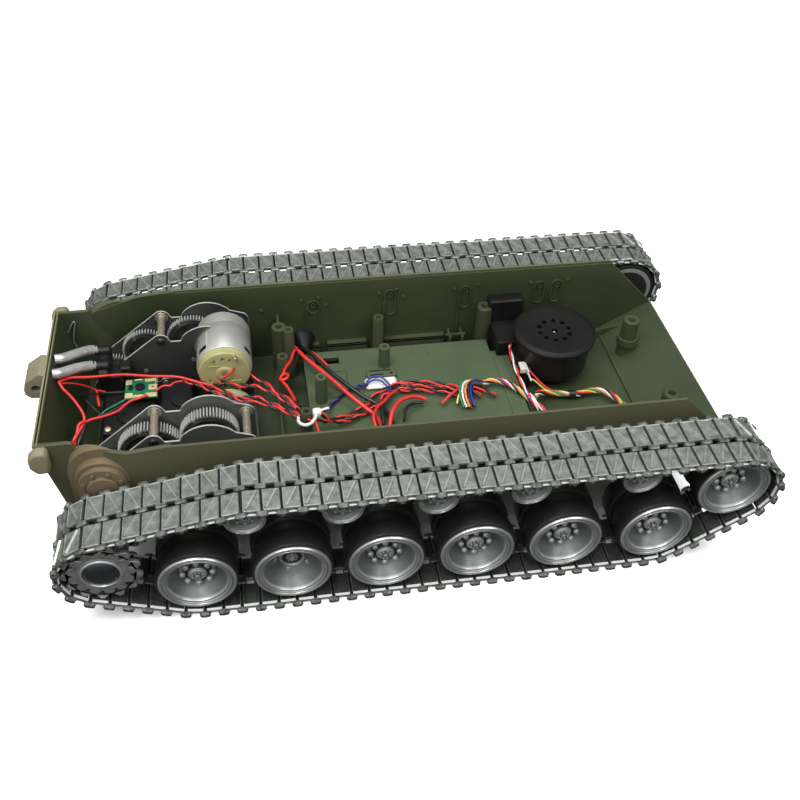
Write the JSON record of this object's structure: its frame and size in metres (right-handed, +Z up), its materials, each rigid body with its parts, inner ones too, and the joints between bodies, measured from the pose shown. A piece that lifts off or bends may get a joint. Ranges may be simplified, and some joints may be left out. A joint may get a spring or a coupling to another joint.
{
  "type": "tracked tank chassis",
  "caption": "Open tank lower hull on metal tracks, with sprung road wheels, return rollers, drive sprockets, spur gearboxes, motors, speaker and smoke unit.",
  "frame": {"origin": "under the middle of the whole part, on the ground the tracks stand on", "axes": "+X to the front (idler end), +Y to the left, +Z up"},
  "size_m": [0.3913, 0.2168, 0.0843],
  "materials": {
    "hull": "satin olive moulded plastic",
    "track": "cast zinc alloy, grey with a green tint",
    "wheel": "bright cast rim with black tyres",
    "steel": "dark cast steel",
    "plate": "dark plated sheet, bright edges",
    "gear": "sintered steel",
    "pinion": "cut brass",
    "motor": "plated can, pale yellow end bell",
    "arm": "black moulded plastic",
    "black": "satin black plastic",
    "pipe": "bright plated",
    "wire": "coloured insulation"
  },
  "bodies": {
    "chassis": {"hull_tub": "hull", "battery_cover": "hull", "speaker_box": "black", "smoke_unit": "black", "smoke_pipes": "pipe", "motor_harness": "wire", "battery_lead": "wire", "speaker_loom": "wire", "left_track": "track", "left_gearbox_frame": "plate", "left_motor": "motor", "right_track": "track", "right_gearbox_frame": "plate", "right_motor": "motor"},
    "left_sprocket": {"left_sprocket": "steel", "left_drive_shaft": "steel"},
    "left_idler": {"left_idler": "wheel"},
    "left_return_roller_1": {"left_return_roller_1": "wheel"},
    "left_return_roller_2": {"left_return_roller_2": "wheel"},
    "left_return_roller_3": {"left_return_roller_3": "wheel"},
    "left_return_roller_4": {"left_return_roller_4": "wheel"},
    "left_return_roller_5": {"left_return_roller_5": "wheel"},
    "left_arm_1": {"left_arm_1": "arm"},
    "left_road_wheel_1": {"left_road_wheel_1": "wheel"},
    "left_arm_2": {"left_arm_2": "arm"},
    "left_road_wheel_2": {"left_road_wheel_2": "wheel"},
    "left_arm_3": {"left_arm_3": "arm"},
    "left_road_wheel_3": {"left_road_wheel_3": "wheel"},
    "left_arm_4": {"left_arm_4": "arm"},
    "left_road_wheel_4": {"left_road_wheel_4": "wheel"},
    "left_arm_5": {"left_arm_5": "arm"},
    "left_road_wheel_5": {"left_road_wheel_5": "wheel"},
    "left_arm_6": {"left_arm_6": "arm"},
    "left_road_wheel_6": {"left_road_wheel_6": "wheel"},
    "left_reduction_gear": {"left_reduction_gear": "gear"},
    "left_large_gear": {"left_large_gear": "gear"},
    "left_pinion": {"left_pinion": "pinion"},
    "right_sprocket": {"right_sprocket": "steel", "right_drive_shaft": "steel"},
    "right_idler": {"right_idler": "wheel"},
    "right_return_roller_1": {"right_return_roller_1": "wheel"},
    "right_return_roller_2": {"right_return_roller_2": "wheel"},
    "right_return_roller_3": {"right_return_roller_3": "wheel"},
    "right_return_roller_4": {"right_return_roller_4": "wheel"},
    "right_return_roller_5": {"right_return_roller_5": "wheel"},
    "right_arm_1": {"right_arm_1": "arm"},
    "right_road_wheel_1": {"right_road_wheel_1": "wheel"},
    "right_arm_2": {"right_arm_2": "arm"},
    "right_road_wheel_2": {"right_road_wheel_2": "wheel"},
    "right_arm_3": {"right_arm_3": "arm"},
    "right_road_wheel_3": {"right_road_wheel_3": "wheel"},
    "right_arm_4": {"right_arm_4": "arm"},
    "right_road_wheel_4": {"right_road_wheel_4": "wheel"},
    "right_arm_5": {"right_arm_5": "arm"},
    "right_road_wheel_5": {"right_road_wheel_5": "wheel"},
    "right_arm_6": {"right_arm_6": "arm"},
    "right_road_wheel_6": {"right_road_wheel_6": "wheel"},
    "right_reduction_gear": {"right_reduction_gear": "gear"},
    "right_large_gear": {"right_large_gear": "gear"},
    "right_pinion": {"right_pinion": "pinion"}
  },
  "joints": [
    {"name": "left_sprocket_spin", "type": "hinge", "parent": "chassis", "child": "left_sprocket", "pos_m": [-0.155, 0.09, 0.041], "axis": [0, 1, 0], "continuous": true},
    {"name": "left_idler_spin", "type": "hinge", "parent": "chassis", "child": "left_idler", "pos_m": [0.1701, 0.09, 0.0522], "axis": [0, 1, 0], "continuous": true},
    {"name": "left_return_roller_1_spin", "type": "hinge", "parent": "chassis", "child": "left_return_roller_1", "pos_m": [-0.0842, 0.089, 0.0624], "axis": [0, 1, 0], "continuous": true},
    {"name": "left_return_roller_2_spin", "type": "hinge", "parent": "chassis", "child": "left_return_roller_2", "pos_m": [-0.0362, 0.089, 0.0624], "axis": [0, 1, 0], "continuous": true},
    {"name": "left_return_roller_3_spin", "type": "hinge", "parent": "chassis", "child": "left_return_roller_3", "pos_m": [0.0118, 0.089, 0.0624], "axis": [0, 1, 0], "continuous": true},
    {"name": "left_return_roller_4_spin", "type": "hinge", "parent": "chassis", "child": "left_return_roller_4", "pos_m": [0.0598, 0.089, 0.0624], "axis": [0, 1, 0], "continuous": true},
    {"name": "left_return_roller_5_spin", "type": "hinge", "parent": "chassis", "child": "left_return_roller_5", "pos_m": [0.1191, 0.089, 0.0624], "axis": [0, 1, 0], "continuous": true},
    {"name": "left_arm_1_swing", "type": "hinge", "parent": "chassis", "child": "left_arm_1", "pos_m": [-0.0947, 0.0685, 0.034], "axis": [0, 1, 0], "range_deg": [0, 8], "stiffness_Nm_per_rad": 0.5, "springref_deg": -2.86},
    {"name": "left_road_wheel_1_spin", "type": "hinge", "parent": "left_arm_1", "child": "left_road_wheel_1", "pos_m": [-0.1107, 0.0886, 0.0259], "axis": [0, 1, 0], "continuous": true},
    {"name": "left_arm_2_swing", "type": "hinge", "parent": "chassis", "child": "left_arm_2", "pos_m": [-0.0467, 0.0685, 0.034], "axis": [0, 1, 0], "range_deg": [0, 8], "stiffness_Nm_per_rad": 0.5, "springref_deg": -2.86},
    {"name": "left_road_wheel_2_spin", "type": "hinge", "parent": "left_arm_2", "child": "left_road_wheel_2", "pos_m": [-0.0627, 0.0886, 0.0259], "axis": [0, 1, 0], "continuous": true},
    {"name": "left_arm_3_swing", "type": "hinge", "parent": "chassis", "child": "left_arm_3", "pos_m": [0.0013, 0.0685, 0.034], "axis": [0, 1, 0], "range_deg": [0, 8], "stiffness_Nm_per_rad": 0.5, "springref_deg": -2.86},
    {"name": "left_road_wheel_3_spin", "type": "hinge", "parent": "left_arm_3", "child": "left_road_wheel_3", "pos_m": [-0.0147, 0.0886, 0.0259], "axis": [0, 1, 0], "continuous": true},
    {"name": "left_arm_4_swing", "type": "hinge", "parent": "chassis", "child": "left_arm_4", "pos_m": [0.0493, 0.0685, 0.034], "axis": [0, 1, 0], "range_deg": [0, 8], "stiffness_Nm_per_rad": 0.5, "springref_deg": -2.86},
    {"name": "left_road_wheel_4_spin", "type": "hinge", "parent": "left_arm_4", "child": "left_road_wheel_4", "pos_m": [0.0333, 0.0886, 0.0259], "axis": [0, 1, 0], "continuous": true},
    {"name": "left_arm_5_swing", "type": "hinge", "parent": "chassis", "child": "left_arm_5", "pos_m": [0.0973, 0.0685, 0.034], "axis": [0, 1, 0], "range_deg": [0, 8], "stiffness_Nm_per_rad": 0.5, "springref_deg": -2.86},
    {"name": "left_road_wheel_5_spin", "type": "hinge", "parent": "left_arm_5", "child": "left_road_wheel_5", "pos_m": [0.0813, 0.0886, 0.0259], "axis": [0, 1, 0], "continuous": true},
    {"name": "left_arm_6_swing", "type": "hinge", "parent": "chassis", "child": "left_arm_6", "pos_m": [0.1478, 0.0685, 0.034], "axis": [0, 1, 0], "range_deg": [0, 8], "stiffness_Nm_per_rad": 0.5, "springref_deg": -2.86},
    {"name": "left_road_wheel_6_spin", "type": "hinge", "parent": "left_arm_6", "child": "left_road_wheel_6", "pos_m": [0.1318, 0.0886, 0.0259], "axis": [0, 1, 0], "continuous": true},
    {"name": "left_reduction_gear_spin", "type": "hinge", "parent": "chassis", "child": "left_reduction_gear", "pos_m": [-0.13578, 0.048, 0.05465], "axis": [0, 1, 0], "continuous": true},
    {"name": "left_large_gear_spin", "type": "hinge", "parent": "chassis", "child": "left_large_gear", "pos_m": [-0.108, 0.048, 0.0605], "axis": [0, 1, 0], "continuous": true},
    {"name": "left_pinion_spin", "type": "hinge", "parent": "chassis", "child": "left_pinion", "pos_m": [-0.09023, 0.048, 0.06799], "axis": [0, 1, 0], "continuous": true},
    {"name": "right_sprocket_spin", "type": "hinge", "parent": "chassis", "child": "right_sprocket", "pos_m": [-0.155, -0.09, 0.041], "axis": [0, 1, 0], "continuous": true},
    {"name": "right_idler_spin", "type": "hinge", "parent": "chassis", "child": "right_idler", "pos_m": [0.1701, -0.09, 0.0522], "axis": [0, 1, 0], "continuous": true},
    {"name": "right_return_roller_1_spin", "type": "hinge", "parent": "chassis", "child": "right_return_roller_1", "pos_m": [-0.0842, -0.089, 0.0624], "axis": [0, 1, 0], "continuous": true},
    {"name": "right_return_roller_2_spin", "type": "hinge", "parent": "chassis", "child": "right_return_roller_2", "pos_m": [-0.0362, -0.089, 0.0624], "axis": [0, 1, 0], "continuous": true},
    {"name": "right_return_roller_3_spin", "type": "hinge", "parent": "chassis", "child": "right_return_roller_3", "pos_m": [0.0118, -0.089, 0.0624], "axis": [0, 1, 0], "continuous": true},
    {"name": "right_return_roller_4_spin", "type": "hinge", "parent": "chassis", "child": "right_return_roller_4", "pos_m": [0.0598, -0.089, 0.0624], "axis": [0, 1, 0], "continuous": true},
    {"name": "right_return_roller_5_spin", "type": "hinge", "parent": "chassis", "child": "right_return_roller_5", "pos_m": [0.1191, -0.089, 0.0624], "axis": [0, 1, 0], "continuous": true},
    {"name": "right_arm_1_swing", "type": "hinge", "parent": "chassis", "child": "right_arm_1", "pos_m": [-0.0947, -0.0685, 0.034], "axis": [0, 1, 0], "range_deg": [0, 8], "stiffness_Nm_per_rad": 0.5, "springref_deg": -2.86},
    {"name": "right_road_wheel_1_spin", "type": "hinge", "parent": "right_arm_1", "child": "right_road_wheel_1", "pos_m": [-0.1107, -0.0886, 0.0259], "axis": [0, 1, 0], "continuous": true},
    {"name": "right_arm_2_swing", "type": "hinge", "parent": "chassis", "child": "right_arm_2", "pos_m": [-0.0467, -0.0685, 0.034], "axis": [0, 1, 0], "range_deg": [0, 8], "stiffness_Nm_per_rad": 0.5, "springref_deg": -2.86},
    {"name": "right_road_wheel_2_spin", "type": "hinge", "parent": "right_arm_2", "child": "right_road_wheel_2", "pos_m": [-0.0627, -0.0886, 0.0259], "axis": [0, 1, 0], "continuous": true},
    {"name": "right_arm_3_swing", "type": "hinge", "parent": "chassis", "child": "right_arm_3", "pos_m": [0.0013, -0.0685, 0.034], "axis": [0, 1, 0], "range_deg": [0, 8], "stiffness_Nm_per_rad": 0.5, "springref_deg": -2.86},
    {"name": "right_road_wheel_3_spin", "type": "hinge", "parent": "right_arm_3", "child": "right_road_wheel_3", "pos_m": [-0.0147, -0.0886, 0.0259], "axis": [0, 1, 0], "continuous": true},
    {"name": "right_arm_4_swing", "type": "hinge", "parent": "chassis", "child": "right_arm_4", "pos_m": [0.0493, -0.0685, 0.034], "axis": [0, 1, 0], "range_deg": [0, 8], "stiffness_Nm_per_rad": 0.5, "springref_deg": -2.86},
    {"name": "right_road_wheel_4_spin", "type": "hinge", "parent": "right_arm_4", "child": "right_road_wheel_4", "pos_m": [0.0333, -0.0886, 0.0259], "axis": [0, 1, 0], "continuous": true},
    {"name": "right_arm_5_swing", "type": "hinge", "parent": "chassis", "child": "right_arm_5", "pos_m": [0.0973, -0.0685, 0.034], "axis": [0, 1, 0], "range_deg": [0, 8], "stiffness_Nm_per_rad": 0.5, "springref_deg": -2.86},
    {"name": "right_road_wheel_5_spin", "type": "hinge", "parent": "right_arm_5", "child": "right_road_wheel_5", "pos_m": [0.0813, -0.0886, 0.0259], "axis": [0, 1, 0], "continuous": true},
    {"name": "right_arm_6_swing", "type": "hinge", "parent": "chassis", "child": "right_arm_6", "pos_m": [0.1478, -0.0685, 0.034], "axis": [0, 1, 0], "range_deg": [0, 8], "stiffness_Nm_per_rad": 0.5, "springref_deg": -2.86},
    {"name": "right_road_wheel_6_spin", "type": "hinge", "parent": "right_arm_6", "child": "right_road_wheel_6", "pos_m": [0.1318, -0.0886, 0.0259], "axis": [0, 1, 0], "continuous": true},
    {"name": "right_reduction_gear_spin", "type": "hinge", "parent": "chassis", "child": "right_reduction_gear", "pos_m": [-0.13069, -0.035, 0.05347], "axis": [0, 1, 0], "continuous": true},
    {"name": "right_large_gear_spin", "type": "hinge", "parent": "chassis", "child": "right_large_gear", "pos_m": [-0.0997, -0.035, 0.062], "axis": [0, 1, 0], "continuous": true},
    {"name": "right_pinion_spin", "type": "hinge", "parent": "chassis", "child": "right_pinion", "pos_m": [-0.0897, -0.035, 0.04551], "axis": [0, 1, 0], "continuous": true}
  ],
  "couplings": [
    {"joint": "left_idler_spin", "follows": "left_sprocket_spin", "ratio": 0.95074},
    {"joint": "left_return_roller_1_spin", "follows": "left_sprocket_spin", "ratio": 1.8208},
    {"joint": "left_return_roller_2_spin", "follows": "left_sprocket_spin", "ratio": 1.8208},
    {"joint": "left_return_roller_3_spin", "follows": "left_sprocket_spin", "ratio": 1.8208},
    {"joint": "left_return_roller_4_spin", "follows": "left_sprocket_spin", "ratio": 1.8208},
    {"joint": "left_return_roller_5_spin", "follows": "left_sprocket_spin", "ratio": 1.8208},
    {"joint": "left_road_wheel_1_spin", "follows": "left_sprocket_spin", "ratio": 0.91469},
    {"joint": "left_road_wheel_2_spin", "follows": "left_sprocket_spin", "ratio": 0.91469},
    {"joint": "left_road_wheel_3_spin", "follows": "left_sprocket_spin", "ratio": 0.91469},
    {"joint": "left_road_wheel_4_spin", "follows": "left_sprocket_spin", "ratio": 0.91469},
    {"joint": "left_road_wheel_5_spin", "follows": "left_sprocket_spin", "ratio": 0.91469},
    {"joint": "left_road_wheel_6_spin", "follows": "left_sprocket_spin", "ratio": 0.91469},
    {"joint": "left_reduction_gear_spin", "follows": "left_sprocket_spin", "ratio": -0.76},
    {"joint": "left_large_gear_spin", "follows": "left_sprocket_spin", "ratio": 0.67857},
    {"joint": "left_pinion_spin", "follows": "left_sprocket_spin", "ratio": -2.375},
    {"joint": "right_idler_spin", "follows": "right_sprocket_spin", "ratio": 0.95074},
    {"joint": "right_return_roller_1_spin", "follows": "right_sprocket_spin", "ratio": 1.8208},
    {"joint": "right_return_roller_2_spin", "follows": "right_sprocket_spin", "ratio": 1.8208},
    {"joint": "right_return_roller_3_spin", "follows": "right_sprocket_spin", "ratio": 1.8208},
    {"joint": "right_return_roller_4_spin", "follows": "right_sprocket_spin", "ratio": 1.8208},
    {"joint": "right_return_roller_5_spin", "follows": "right_sprocket_spin", "ratio": 1.8208},
    {"joint": "right_road_wheel_1_spin", "follows": "right_sprocket_spin", "ratio": 0.91469},
    {"joint": "right_road_wheel_2_spin", "follows": "right_sprocket_spin", "ratio": 0.91469},
    {"joint": "right_road_wheel_3_spin", "follows": "right_sprocket_spin", "ratio": 0.91469},
    {"joint": "right_road_wheel_4_spin", "follows": "right_sprocket_spin", "ratio": 0.91469},
    {"joint": "right_road_wheel_5_spin", "follows": "right_sprocket_spin", "ratio": 0.91469},
    {"joint": "right_road_wheel_6_spin", "follows": "right_sprocket_spin", "ratio": 0.91469},
    {"joint": "right_reduction_gear_spin", "follows": "right_sprocket_spin", "ratio": -0.59375},
    {"joint": "right_large_gear_spin", "follows": "right_sprocket_spin", "ratio": 0.67857},
    {"joint": "right_pinion_spin", "follows": "right_sprocket_spin", "ratio": -2.375}
  ]
}
